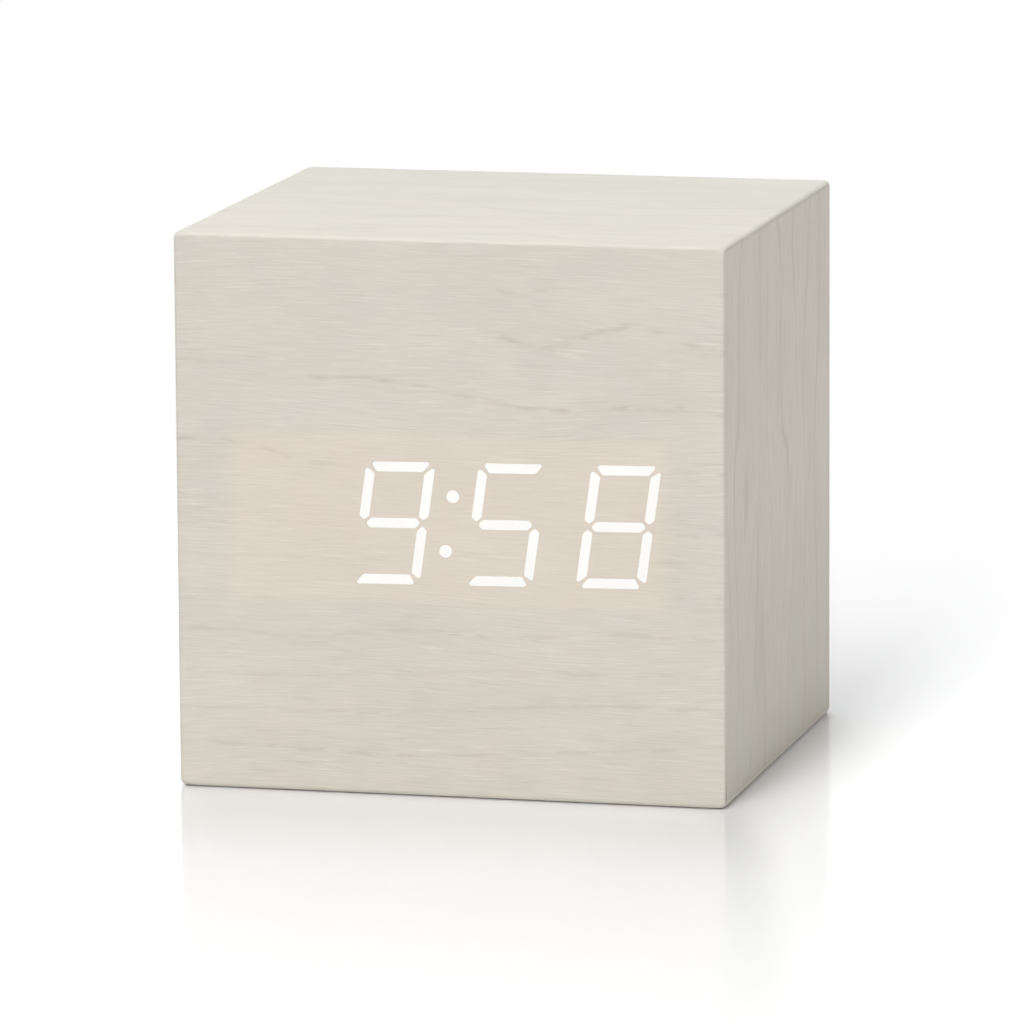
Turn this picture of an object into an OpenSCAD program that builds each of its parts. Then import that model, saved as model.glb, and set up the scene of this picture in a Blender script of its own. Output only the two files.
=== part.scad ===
// Cube alarm clock: a veneered board case, a display that shines through the
// front sheet, a control plate in the rear and a battery bay in the base.
// Millimetres. +X right, +Y to the rear, +Z up, origin in the middle of the base.

/* [Case] */
// Width of the case, left to right
case_w = 68; // [61:1:90]
// Depth of the case, front to rear
case_d = 62; // [58:1:90]
// Height of the case
case_h = 68; // [62:1:90]
// Thickness of the boards
board_t = 4; // [3:0.5:5]
// Thickness of the veneer
veneer_t = 0.4; // [0.3:0.05:0.6]
// Radius of the outer edges
edge_r = 0.8; // [0.5:0.1:1.5]
// Flat strip of the wrap past a rounded edge
lip_flat = 0.2; // [0.1:0.1:1]
// Seam round a sheet that is set inside the wrap
seam = 0.06; // [0.04:0.02:0.2]

/* [Display] */
// Hour shown
hour = 9; // [0:1:23]
// Minute shown
minute = 58; // [0:1:59]
// Height of a digit, between the middles of its top and bottom bars
digit_h = 13.9; // [11:0.1:15]
// Width of a digit, between the middles of its upright bars
digit_w = 7.4; // [6:0.1:8.4]
// Width of the plain front beside the display's reflector
display_side = 7.1; // [5:0.1:9]
// Width of a bar
bar_t = 1.3; // [1:0.05:1.8]
// Distance from a digit's corner to a bar's tip
corner_gap = 0.25; // [0.15:0.05:0.6]
// Distance from a digit's waist to a bar's tip
waist_gap = 0.45; // [0.3:0.05:0.8]
// Lean of the digits in degrees
slant = 8; // [0:0.5:12]
// Diameter of the colon's dots
dot_d = 1.65; // [1.3:0.05:2]
// Distance between the colon's dots
dot_spacing = 6.8; // [4:0.1:8]
// Rim of the reflector beside the digits
rim_x = 0.6; // [0.4:0.1:1]
// Rim of the reflector above and below the digits
rim_z = 2.6; // [1:0.1:3]
// Depth of the reflector
reflector_t = 8; // [6.5:0.5:10]
// Thickness of the diffusers in the reflector
diffuser_t = 2; // [1:0.5:4]

/* [Control plate] */
// Width of the plate
plate_w = 49; // [48.5:0.5:50]
// Height of the plate
plate_h = 15; // [13:0.5:18]
// Radius of the plate's corners
plate_r = 3; // [1:0.5:5]
// Depth of the plate's face below the rear sheet
plate_recess = 1; // [0.8:0.1:1.6]
// Width of the flange above and below the plate
plate_ledge = 4.2; // [4:0.1:5]
// Diameter of a button
button_d = 6; // [4.5:0.1:7]
// Distance between neighbouring buttons
button_pitch = 9; // [8.6:0.1:9.1]
// Height of a button above the plate
button_proud = 0.8; // [0.6:0.05:0.85]
// Travel of a button
button_travel = 0.5; // [0.3:0.05:0.6]
// Width of the power socket's shell
usb_w = 7.5; // [7:0.1:8]
// Height of the power socket's shell
usb_h = 2.9; // [2.5:0.1:3.4]
// Distance from the power socket to the plate's end
usb_edge = 6.4; // [6:0.1:7]

/* [Battery bay] */
// Diameter of a cell
cell_d = 10.5; // [10:0.1:10.8]
// Length of a cell with its cap
cell_len = 44.5; // [43:0.1:45]
// Thickness of the bay's end walls
bay_end_t = 1.2; // [1:0.1:1.3]
// Air between neighbouring cells
cell_gap = 0.9; // [0.5:0.1:1.5]
// Compressed length of a contact spring
spring_len = 4; // [3.5:0.1:4.5]
// Thickness of the contact sheets
contact_t = 0.4; // [0.3:0.05:0.5]
// Width of the bay's flange along its long sides
bay_ledge = 5; // [4.6:0.1:6]
// Thickness of the door
door_t = 1.6; // [1.2:0.1:2]
// Air round the door
door_gap = 0.25; // [0.2:0.05:0.4]
// Depth of the door below the base
door_recess = 0.3; // [0.2:0.1:0.6]
// Radius of the door's hinge barrel
barrel_r = 1.2; // [1.1:0.05:1.4]
// Radius of the door's hinge pins
pin_r = 0.7; // [0.5:0.05:0.8]

/* [Mouldings and boards] */
// Wall thickness of the plastic mouldings
wall_t = 1.6; // [1.2:0.1:1.8]
// Thickness of the circuit boards
pcb_t = 1.6; // [1:0.2:2]
// Height of the posts under the main board
post_len = 4; // [3.6:0.1:5]
// Height of the main board
main_h = 31; // [30:0.5:34]
// Diameter of a screw's shank
screw_d = 2; // [1.6:0.1:2.2]
// Diameter of a screw's head
screw_head_d = 3.8; // [3:0.1:4]
// Width of the ribbon cable
ribbon_w = 12; // [8:0.5:14]
// Radius of a battery lead
lead_r = 0.65; // [0.4:0.05:0.8]

/* [Hidden] */
$fn = 64;

// Air between a moulding and its opening
fit = 0.2;
// Air round a pin or plunger that runs in a hole
run = 0.08;
// Air between pieces that sit close together
close = 0.05;
// Distance that a cut runs past a face
over = 1;

// Case
core_w = case_w - 2 * veneer_t;
core_d = case_d - 2 * veneer_t;
core_h = case_h - 2 * veneer_t;
in_w = core_w - 2 * board_t;
in_d = core_d - 2 * board_t;
floor_z = veneer_t + board_t;
lip_w = edge_r + lip_flat;
sharpest_r = 0.05;
sheet_inset = 2 * (lip_w + seam);

// Screws
screw_head_h = 1.3;
screw_bite = board_t - 1;
pilot_d = screw_d + 2 * close;
clear_d = screw_d + 2 * fit;
slot_w = 0.5;
slot_l = 0.7 * screw_head_d;
slot_depth = 0.7;
end_air = 1;

// Display
display_z = case_h / 2;
lean = tan(slant);
bars = "abcdefg";
lit_bars = ["abcdef", "bc", "abdeg", "abcdg", "bcfg", "acdfg", "acdefg", "abc", "abcdefg", "abcdfg"];
shown = [hour < 10 ? -1 : floor(hour / 10), hour % 10, floor(minute / 10), minute % 10];
outer_bevel = 0.18;
inner_bevel = 0.68;
waist_bevel = 0.5;
tip_rise = 0.33;
reflector_w = case_w - 2 * display_side;
digit_pitch = (reflector_w - 2 * rim_x - digit_w - bar_t - digit_h * lean) / 3;
reflector_h = digit_h + bar_t + 2 * rim_z;
window_w = reflector_w + 2 * fit;
window_h = reflector_h + 2 * fit;
reflector_y = -core_d / 2;
display_y = reflector_y + reflector_t;
display_back = display_y + pcb_t;
spacer_len = reflector_t - board_t;
spacer_d = 4.4;
screw_edge = 2.6;
display_h = window_h + 4 * screw_edge;
display_screws_x = reflector_w / 2 - screw_edge;
display_screws_z = window_h / 2 + screw_edge;
led_l = 1.2;
led_w = 0.6;
led_h = 0.5;
driver_x = -reflector_w / 4;
driver_w = 12.8;
chip_l = 7.5;
chip_h = 2.4;
leg_pitch = 1.27;
leg_reach = 1.4;
leg_t = 0.3;
socket_l = 5;
socket_h = 4.6;
socket_wall = 1;
socket_rise = 8;
display_socket_z = display_z + socket_rise;

// Battery bay
cells = 3;
cell_pitch = cell_d + cell_gap;
nub_d = 3.8;
nub_h = 1;
shoulder = 0.5;
pocket_x = cell_len + spring_len + 2 * contact_t + 2 * close;
pocket_y = cells * cell_pitch;
bay_x = pocket_x + 2 * bay_end_t;
bay_y = pocket_y + 2 * wall_t;
bay_flange_x = in_w - 2 * fit;
door_top = door_recess + door_t;
cell_rise = 0.4;
cell_z = door_top + cell_rise + cell_d / 2;
ceiling_z = cell_z + cell_d / 2 + fit;
bay_top = ceiling_z + wall_t;
rib_t = 1;
rib_z = cell_z + sqrt(pow(cell_d / 2, 2) - pow(cell_pitch / 2 - rib_t / 2 - fit, 2));
bay_screw_inset = 4;
bay_screws_x = pocket_x / 2 - bay_screw_inset;
bay_screws_y = bay_y / 2 + bay_ledge / 2;
contact_h = 8;
contact_air = 1;
tab_w = 3;
tab_rise = 2.4;
tab_top = bay_top + tab_rise;
spring_wire_r = 0.3;
spring_turns = 4;
spring_base_r = 3.6;
spring_tip_r = 2.4;
hinge_y = -pocket_y / 2 + door_gap + barrel_r;
hinge_z = door_recess + barrel_r;
pin_end_t = 0.3;
pin_reach = bay_end_t - pin_end_t;
door_rear = pocket_y / 2 - door_gap;
tongue_w = 12;
tongue_l = 9;
tongue_slot = 0.8;
bead = 0.15;
bead_w = tongue_w - 1;
groove = 0.4;
groove_h = 0.9;
groove_w = tongue_w + 1;
scoop_r = 4;
scoop_depth = 0.7;
scoop_w = tongue_w - 2;

// Control plate and main board
plate_y = case_d / 2 - plate_recess;
plate_back = plate_y - wall_t;
flange_y = in_d / 2 - wall_t;
flange_lip = 1.2;
flange_h = plate_h + 2 * plate_ledge;
flange_air = 1;
plate_z = bay_top + flange_air + flange_h / 2;
main_y = flange_y - post_len;
main_back = main_y - pcb_t;
main_z = plate_z - flange_h / 2;
post_d = 3.6;
post_inset = 2.4;
posts_x = plate_w / 2 - post_inset;
plate_screws_x = plate_w / 4;
ledge_dz = plate_h / 2 + plate_ledge / 2;
usb_x = -plate_w / 2 + usb_edge;
usb_corner = 1.1;
usb_shell_t = 0.35;
usb_block = 3.2;
usb_tongue_t = 0.7;
usb_tongue_back = 1;
mic_d = 4;
mic_h = 2;
mic_hole_d = 1.2;
mic_air = 0.6;
mic_x = usb_x + usb_w / 2 + mic_air + mic_d / 2;
buzzer_d = 7.5;
buzzer_h = 4.5;
buzzer_hole_d = 2;
buzzer_air = 0.5;
buzzer_x = plate_w / 2 - wall_t - buzzer_air - buzzer_d / 2;
sound_slot_w = 1;
sound_slot_l = 6;
button_mid = (mic_x + mic_d / 2 + buzzer_x - buzzer_d / 2) / 2;
switch_w = 6;
switch_h = 3.5;
plunger_r = 1.75;
plunger_out = 0.8;
plunger_in = 0.9;
plunger_top = main_y + switch_h + plunger_out;
collar_r = 3.8;
collar_t = 0.8;
collar_front = plate_back - close;
stem_r = 1.5;
button_top = plate_y + button_proud;
button_bevel = 0.3;
symbol_h = 0.1;
symbol_r = 1.2;
dot_symbol_r = 0.85;
upper_row_drop = 5.5;
upper_row_z = main_z + main_h - upper_row_drop;
crystal_x = 6;
crystal_d = 2.1;
crystal_l = 6.2;
capacitor_d = 5;
capacitor_l = 8;
capacitor_x = -posts_x + screw_head_d / 2 + end_air + capacitor_d / 2;
controller_x = capacitor_x + capacitor_d / 2 + end_air + driver_w / 2;
coin_x = 14;
coin_d = 12.5;
coin_t = 2;
clip_t = 0.4;
clip_w = 4;
main_socket_z = plate_z;
pads_x = 18;
pads_rise = 2.6;
pads_z = main_z + pads_rise;
ribbon_t = 0.9;
ribbon_sag = 6;
lead_rise = 6;

// Shared shapes

// A profile drawn in Y and Z, run along X about the middle
module along_x(len) {
    rotate([90, 0, 90]) linear_extrude(len, center = true) children();
}

// A profile drawn in X and Z, run along Y between two places
module along_y(y0, y1) {
    translate([0, y1, 0]) rotate([90, 0, 0]) linear_extrude(y1 - y0) children();
}

// A piece drawn standing on the ground, turned to stand out to the rear at a place
module facing_rear(x, y, z) {
    translate([x, y, z]) rotate([-90, 0, 0]) children();
}

// A piece drawn standing on the ground, turned to stand out to the front at a place
module facing_front(x, y, z) {
    translate([x, y, z]) rotate([90, 0, 0]) children();
}

// A block centred in X and Y that stands on the ground
module block(w, d, h) {
    translate([-w / 2, -d / 2, 0]) cube([w, d, h]);
}

module rounded_rect(w, h, r) {
    square([w - 2 * r, h], center = true);
    square([w, h - 2 * r], center = true);
    for (sx = [-1, 1], sy = [-1, 1])
        translate([sx * (w / 2 - r), sy * (h / 2 - r)]) circle(r);
}

// A slot with round ends, upright
module stadium(w, l) {
    square([w, l - w], center = true);
    for (s = [-1, 1])
        translate([0, s * (l - w) / 2]) circle(d = w);
}

// The case's outer form, taken in on every face
module case_form(inset) {
    w = case_w - 2 * inset;
    d = case_d - 2 * inset;
    h = case_h - 2 * inset;
    r = max(edge_r - inset, sharpest_r);
    translate([0, 0, case_h / 2]) intersection() {
        along_x(w) rounded_rect(d, h, r);
        along_y(-d / 2, d / 2) rounded_rect(w, h, r);
        linear_extrude(h, center = true) rounded_rect(w, d, r);
    }
}

// A pan head screw with its head standing on the ground and its shank below
module screw(shank) {
    difference() {
        union() {
            cylinder(h = screw_head_h, d = screw_head_d);
            translate([0, 0, -shank]) cylinder(h = shank + screw_head_h / 2, d = screw_d);
        }
        for (turn = [0, 90])
            translate([0, 0, screw_head_h - slot_depth])
                rotate(turn) block(slot_l, slot_w, slot_depth + over);
    }
}

// A chip with a row of legs along each long side
module chip(w) {
    block(w, chip_l, chip_h);
    legs = floor(w / leg_pitch);
    for (i = [0 : legs - 1])
        translate([(i - (legs - 1) / 2) * leg_pitch, 0, 0])
            block(leg_pitch / 3, chip_l + 2 * leg_reach, leg_t);
}

// A box socket, open at the top, for the ribbon cable's end
module box_socket() {
    difference() {
        block(ribbon_w + 2 * socket_wall, socket_l, socket_h);
        translate([0, 0, socket_h / 2]) block(ribbon_w + 2 * fit, ribbon_t + 2 * fit, socket_h);
    }
}

function unit(v) = v / norm(v);

// A round wire along a list of points, with each ring square to the path
module wire(path, r, across, sides = 8) {
    last = len(path) - 1;
    along = [for (i = [0 : last]) unit(path[min(i + 1, last)] - path[max(i - 1, 0)])];
    rings = [for (i = [0 : last])
        let (u = unit(cross(across, along[i])), v = cross(along[i], u))
        for (k = [0 : sides - 1])
            path[i] + r * (cos(k * 360 / sides) * u + sin(k * 360 / sides) * v)];
    walls = [for (i = [0 : last - 1], k = [0 : sides - 1])
        let (n = (k + 1) % sides, a = i * sides, b = a + sides)
        for (face = [[a + k, b + k, b + n], [a + k, b + n, a + n]]) face];
    ends = [[for (k = [0 : sides - 1]) k], [for (k = [sides - 1 : -1 : 0]) last * sides + k]];
    polyhedron(rings, concat(walls, ends));
}

// Points of a curve that leaves one place in a direction and reaches another in a direction
function curve(a, a_pull, b, b_pull, steps) = [for (i = [0 : steps])
    let (s = i / steps, q = 1 - s)
    q * q * q * a + 3 * q * q * s * (a + a_pull) + 3 * q * s * s * (b + b_pull) + s * s * s * b];

// Case boards

// A board's section between the mitres, for a board across Y or Z of the given span
module mitred(span) {
    polygon([[-span / 2, 0], [span / 2, 0], [span / 2 - board_t, board_t], [-span / 2 + board_t, board_t]]);
}

// Four boards make a square tube across the case
module upright_board(side) {
    intersection() {
        case_form(veneer_t);
        along_x(core_w) translate([side * core_d / 2, case_h / 2]) rotate(side * 90) mitred(core_h);
    }
}

module level_board(side) {
    intersection() {
        case_form(veneer_t);
        along_x(core_w) translate([0, case_h / 2 - side * core_h / 2]) rotate(90 - side * 90) mitred(core_d);
    }
}

// An end board closes the tube inside its walls
module end_board(side) {
    translate([side * (in_w + board_t) / 2, 0, floor_z]) block(board_t, in_d, case_h - 2 * floor_z);
}

module front_panel() {
    color("burlywood") difference() {
        upright_board(-1);
        translate([0, -case_d / 2, display_z - window_h / 2]) block(window_w, case_d, window_h);
        at_display_screws(-in_d / 2 - screw_bite - close) cylinder(h = screw_bite + over, d = pilot_d);
    }
}

module top_panel() {
    color("burlywood") level_board(-1);
}

module rear_panel() {
    color("burlywood") difference() {
        upright_board(1);
        plate_opening();
        at_plate_screws(in_d / 2 - over) cylinder(h = screw_bite + close + over, d = pilot_d);
    }
}

// The bottom board has a raised field that fills the wrap's open underside down to the ground
module bottom_panel() {
    color("burlywood") difference() {
        union() {
            level_board(1);
            block(in_w, in_d, floor_z / 2);
            block(case_w - sheet_inset, case_d - sheet_inset, veneer_t);
        }
        translate([0, 0, -over]) block(bay_x + 2 * fit, bay_y + 2 * fit, floor_z + 2 * over);
        at_bay_screws(floor_z - screw_bite - close) cylinder(h = screw_bite + over, d = pilot_d);
    }
}

module left_panel() {
    color("burlywood") end_board(-1);
}

module right_panel() {
    color("burlywood") end_board(1);
}

// Veneer

module plate_opening() {
    translate([0, 0, plate_z])
        along_y(0, case_d) rounded_rect(plate_w + 2 * fit, plate_h + 2 * fit, plate_r + fit);
}

// One sheet round the front, top and rear, with a lip turned on to the sides and base
module veneer_wrap() {
    color("antiquewhite") difference() {
        case_form(0);
        case_form(veneer_t);
        translate([0, 0, lip_w]) block(case_w + 2 * over, case_d - 2 * lip_w, case_h - 2 * lip_w);
        translate([0, 0, -over]) block(case_w - 2 * lip_w, case_d - 2 * lip_w, 2 * over);
        plate_opening();
    }
}

module side_sheet(side) {
    translate([side * (case_w - veneer_t) / 2, 0, sheet_inset / 2])
        block(veneer_t, case_d - sheet_inset, case_h - sheet_inset);
}

module left_veneer() {
    color("antiquewhite") side_sheet(-1);
}

module right_veneer() {
    color("antiquewhite") side_sheet(1);
}

// Display

function digit_x(place) = (place - 1.5) * digit_pitch;

function is_lit(place, bar) = shown[place] >= 0 && len(search(bar, lit_bars[shown[place]])) > 0;

function leaned(p) = [p[0] + p[1] * lean, p[1]];

// Outline of a bar of the given length: each end has a set-back and a kind,
// and the bar's outer side is up. grow widens it all round.
function bar_outline(len, start_waist, end_waist, grow) =
    let (
        half_t = bar_t / 2 + grow,
        gap = function(waist) (waist ? waist_gap : corner_gap) - grow,
        outer = function(waist) gap(waist) + (waist ? waist_bevel : outer_bevel),
        inner = function(waist) gap(waist) + (waist ? waist_bevel : inner_bevel),
        tip = function(waist) waist ? 0 : tip_rise
    ) [
        [-len / 2 + outer(start_waist), half_t],
        [len / 2 - outer(end_waist), half_t],
        [len / 2 - gap(end_waist), tip(end_waist)],
        [len / 2 - inner(end_waist), -half_t],
        [-len / 2 + inner(start_waist), -half_t],
        [-len / 2 + gap(start_waist), tip(start_waist)]
    ];

// Level bars lie at the digit's top, middle and bottom: a, g and d
function level_bar(row, grow) = [for (p = bar_outline(digit_w, row == 0, row == 0, grow))
    leaned([p[0], row * digit_h / 2 + (row < 0 ? -p[1] : p[1])])];

// Upright bars run from the waist to a corner: b, c, e and f
function upright_bar(side, row, grow) = [for (p = bar_outline(digit_h / 2, true, false, grow))
    leaned([side * (digit_w / 2 + p[1]), row * (digit_h / 4 + p[0])])];

function bar_points(bar, grow) =
    bar == "a" ? level_bar(1, grow) :
    bar == "g" ? level_bar(0, grow) :
    bar == "d" ? level_bar(-1, grow) :
    bar == "b" ? upright_bar(1, 1, grow) :
    bar == "c" ? upright_bar(1, -1, grow) :
    bar == "e" ? upright_bar(-1, -1, grow) :
    upright_bar(-1, 1, grow);

// Middle of the points' box
function middle(points) = [for (k = [0, 1])
    let (along = [for (p = points) p[k]])
    (min(along) + max(along)) / 2];

module dots(d) {
    for (s = [-1, 1])
        translate(leaned([0, s * dot_spacing / 2])) circle(d = d);
}

module bars_where(lit) {
    for (place = [0 : 3], bar = bars)
        if (is_lit(place, bar) == lit)
            translate([digit_x(place), 0]) polygon(bar_points(bar, 0));
}

module reflector() {
    color("white") translate([0, 0, display_z]) difference() {
        translate([0, reflector_y + reflector_t / 2, -reflector_h / 2])
            block(reflector_w, reflector_t, reflector_h);
        along_y(reflector_y - over, display_y + over) {
            for (place = [0 : 3], bar = bars)
                translate([digit_x(place), 0]) polygon(bar_points(bar, close));
            dots(dot_d + 2 * close);
        }
    }
}

module diffusers() {
    translate([0, 0, display_z]) along_y(reflector_y, reflector_y + diffuser_t) children();
}

module lit_segments() {
    color("ivory") diffusers() {
        bars_where(true);
        dots(dot_d);
    }
}

module unlit_segments() {
    color("gainsboro") diffusers() bars_where(false);
}

module led(x, z, upright) {
    facing_front(x, display_y, display_z + z)
        rotate(upright ? 90 : 0) block(led_l, led_w, led_h);
}

module led_chips() {
    color("khaki") {
        for (place = [0 : 3], bar = bars) {
            spot = middle(bar_points(bar, 0));
            led(digit_x(place) + spot[0], spot[1], len(search(bar, "bcef")) > 0);
        }
        for (s = [-1, 1])
            led(s * dot_spacing / 2 * lean, s * dot_spacing / 2, false);
    }
}

module at_display_screws(y) {
    for (sx = [-1, 1], sz = [-1, 1])
        facing_rear(sx * display_screws_x, y, display_z + sz * display_screws_z) children();
}

module display_board() {
    color("darkgreen") difference() {
        translate([0, display_y + pcb_t / 2, display_z - display_h / 2]) block(reflector_w, pcb_t, display_h);
        at_display_screws(display_y - over) cylinder(h = pcb_t + 2 * over, d = clear_d);
    }
}

module display_driver() {
    color("dimgray") facing_rear(driver_x, display_back, display_z) chip(driver_w);
}

module display_spacers() {
    color("white") at_display_screws(-in_d / 2) difference() {
        cylinder(h = spacer_len, d = spacer_d);
        translate([0, 0, -over]) cylinder(h = spacer_len + 2 * over, d = clear_d);
    }
}

module display_screws() {
    color("silver") at_display_screws(display_back) screw(pcb_t + spacer_len + screw_bite);
}

module display_socket() {
    color("ivory") facing_rear(0, display_back, display_socket_z) box_socket();
}

// Control plate

function button_x(i) = button_mid + i * button_pitch;

// Outline of the power socket's shell, widened all round by grow
module usb_outline(grow) {
    w = usb_w / 2 + grow;
    h = usb_h / 2 + grow;
    c = usb_corner + grow * (2 - sqrt(2));
    polygon([[-w, h], [w, h], [w, c - h], [w - c, -h], [c - w, -h], [-w, c - h]]);
}

module at_posts(y) {
    for (sx = [-1, 1], sz = [-1, 1])
        facing_rear(sx * posts_x, y, plate_z + sz * ledge_dz) children();
}

module at_plate_screws(y) {
    for (sx = [-1, 1], sz = [-1, 1])
        facing_rear(sx * plate_screws_x, y, plate_z + sz * ledge_dz) children();
}

// A recessed face in a hat-shaped moulding, with a flange and posts inside the case
module control_plate() {
    color("dimgray") difference() {
        union() {
            translate([0, 0, plate_z]) {
                along_y(flange_y, plate_y) rounded_rect(plate_w, plate_h, plate_r);
                along_y(flange_y, flange_y + wall_t)
                    square([plate_w + 2 * flange_lip, flange_h], center = true);
            }
            at_posts(main_y) cylinder(h = post_len + wall_t / 2, d = post_d);
        }
        translate([0, 0, plate_z]) {
            along_y(flange_y - over, plate_back)
                rounded_rect(plate_w - 2 * wall_t, plate_h - 2 * wall_t, max(plate_r - wall_t, sharpest_r));
            along_y(plate_back - over, plate_y + over) {
                for (i = [-1 : 1])
                    translate([button_x(i), 0]) circle(d = button_d + 2 * run);
                translate([usb_x, 0]) usb_outline(fit);
                translate([mic_x, 0]) circle(d = mic_hole_d);
                for (i = [-1 : 1])
                    translate([buzzer_x + 2 * i * sound_slot_w, 0]) stadium(sound_slot_w, sound_slot_l);
            }
        }
        at_posts(main_y - over) cylinder(h = post_len + over, d = pilot_d);
        at_plate_screws(flange_y - over) cylinder(h = wall_t + 2 * over, d = clear_d);
    }
}

module plate_screws() {
    color("silver") at_plate_screws(flange_y) rotate([180, 0, 0]) screw(wall_t + screw_bite);
}

// A cap with a collar behind the plate and a stem on to the switch's plunger.
// Children are the mark on its face, drawn upright as seen from the rear.
module button(i) {
    collar_back = collar_front - collar_t;
    r = button_d / 2;
    color("black") facing_rear(button_x(i), 0, plate_z) {
        rotate_extrude() polygon([
            [0, plunger_top], [stem_r, plunger_top], [stem_r, collar_back], [collar_r, collar_back],
            [collar_r, collar_front], [r, collar_front], [r, button_top - button_bevel],
            [r - button_bevel, button_top], [0, button_top]]);
        translate([0, 0, button_top - button_bevel])
            rotate(180) linear_extrude(button_bevel + symbol_h) children();
    }
}

module arrow() {
    circle(symbol_r, $fn = 3);
}

module set_button() {
    button(1) circle(dot_symbol_r);
}

module up_button() {
    button(0) rotate(90) arrow();
}

module down_button() {
    button(-1) rotate(-90) arrow();
}

module plunger(i) {
    color("black") facing_rear(button_x(i), main_y + switch_h - plunger_in, plate_z)
        cylinder(h = plunger_in + plunger_out, r = plunger_r);
}

module set_plunger() {
    plunger(1);
}

module up_plunger() {
    plunger(0);
}

module down_plunger() {
    plunger(-1);
}

module switch_bodies() {
    well = plunger_in + button_travel + fit;
    color("silver") for (i = [-1 : 1])
        facing_rear(button_x(i), main_y, plate_z) difference() {
            block(switch_w, switch_w, switch_h);
            translate([0, 0, switch_h - well]) cylinder(h = well + over, r = plunger_r + run);
        }
}

module usb_shell() {
    color("silver") translate([usb_x, 0, plate_z]) along_y(main_y, plate_y) difference() {
        usb_outline(0);
        usb_outline(-usb_shell_t);
    }
}

module usb_insert() {
    color("black") translate([usb_x, 0, plate_z]) {
        along_y(main_y, main_y + usb_block) usb_outline(-usb_shell_t - close);
        along_y(main_y + usb_block / 2, plate_y - usb_tongue_back)
            translate([0, usb_tongue_t / 2]) square([usb_w / 2, usb_tongue_t], center = true);
    }
}

module capsule(d, h, hole_d) {
    difference() {
        cylinder(h = h, d = d);
        translate([0, 0, h / 2]) cylinder(h = h, d = hole_d);
    }
}

module microphone() {
    color("silver") facing_rear(mic_x, main_y, plate_z) capsule(mic_d, mic_h, mic_hole_d);
}

module buzzer() {
    color("black") facing_rear(buzzer_x, main_y, plate_z) capsule(buzzer_d, buzzer_h, buzzer_hole_d);
}

// Main board

module main_board() {
    color("darkgreen") difference() {
        translate([0, main_y - pcb_t / 2, main_z]) block(plate_w, pcb_t, main_h);
        at_posts(main_back - over) cylinder(h = pcb_t + 2 * over, d = clear_d);
    }
}

module board_screws() {
    color("silver") at_posts(main_back) rotate([180, 0, 0]) screw(pcb_t + post_len - end_air);
}

module controller_chip() {
    color("dimgray") facing_front(controller_x, main_back, upper_row_z) chip(driver_w);
}

module clock_crystal() {
    color("silver") translate([crystal_x, main_back - crystal_d / 2, upper_row_z])
        rotate([0, 90, 0]) cylinder(h = crystal_l, d = crystal_d, center = true);
}

module filter_capacitor() {
    color("navy") facing_front(capacitor_x, main_back, upper_row_z)
        cylinder(h = capacitor_l, d = capacitor_d);
}

module backup_cell() {
    color("silver") facing_front(coin_x, main_back, plate_z) cylinder(h = coin_t, d = coin_d);
}

module backup_cell_clip() {
    inside = coin_d + 2 * fit;
    color("silver") facing_front(coin_x, main_back, plate_z) difference() {
        block(inside + 2 * clip_t, clip_w, coin_t + close + clip_t);
        translate([0, 0, -over]) block(inside, clip_w + 2 * over, coin_t + close + over);
    }
}

module main_socket() {
    color("ivory") facing_front(0, main_back, main_socket_z) box_socket();
}

// A flat cable that leaves both sockets level and sags between them
module ribbon_cable() {
    y0 = display_back + socket_h;
    y1 = main_back - socket_h;
    tuck = [socket_h / 2 - close, 0];
    drop = main_socket_z - display_socket_z;
    steps = 24;
    span = [for (i = [0 : steps])
        let (s = i / steps, ease = s * s * (3 - 2 * s), sag = ribbon_sag * pow(sin(180 * s), 2))
        [y0 + s * (y1 - y0), display_socket_z + ease * drop - sag]];
    line = concat([span[0] - tuck], span, [span[steps] + tuck]);
    half = [0, ribbon_t / 2];
    color("gray") along_x(ribbon_w) polygon(concat(
        [for (p = line) p + half],
        [for (i = [len(line) - 1 : -1 : 0]) line[i] - half]));
}

// Battery bay

function cell_y(i) = (i - (cells - 1) / 2) * cell_pitch;

function plus_side(i) = i % 2 == 0 ? 1 : -1;

module at_bay_screws(z) {
    for (sx = [-1, 1], sy = [-1, 1])
        translate([sx * bay_screws_x, sy * bay_screws_y, z]) children();
}

// A tray that opens downwards, hung by its flange on the bottom board
module battery_bay() {
    color("dimgray") difference() {
        union() {
            translate([0, 0, door_recess]) block(bay_x, bay_y, bay_top - door_recess);
            translate([0, 0, floor_z]) block(bay_flange_x, bay_y + 2 * bay_ledge, wall_t);
        }
        difference() {
            translate([0, 0, -over]) block(pocket_x, pocket_y, ceiling_z + over);
            for (i = [0 : cells - 2])
                translate([0, cell_y(i) + cell_pitch / 2, rib_z]) block(pocket_x / 2, rib_t, ceiling_z);
        }
        for (s = [-1, 1])
            translate([s * (pocket_x - contact_t) / 2, s * cell_y(cells - 1), ceiling_z - over])
                block(contact_t + 2 * fit, tab_w + 2 * fit, wall_t + 2 * over);
        at_bay_screws(floor_z - over) cylinder(h = wall_t + 2 * over, d = clear_d);
        translate([0, hinge_y, hinge_z]) rotate([0, 90, 0])
            cylinder(h = pocket_x + 2 * pin_reach + 2 * run, r = pin_r + run, center = true);
        translate([0, pocket_y / 2, door_recess + (door_t - groove_h) / 2])
            block(groove_w, 2 * groove, groove_h);
    }
}

module bay_screws() {
    color("silver") at_bay_screws(floor_z + wall_t) screw(wall_t + screw_bite);
}

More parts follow.
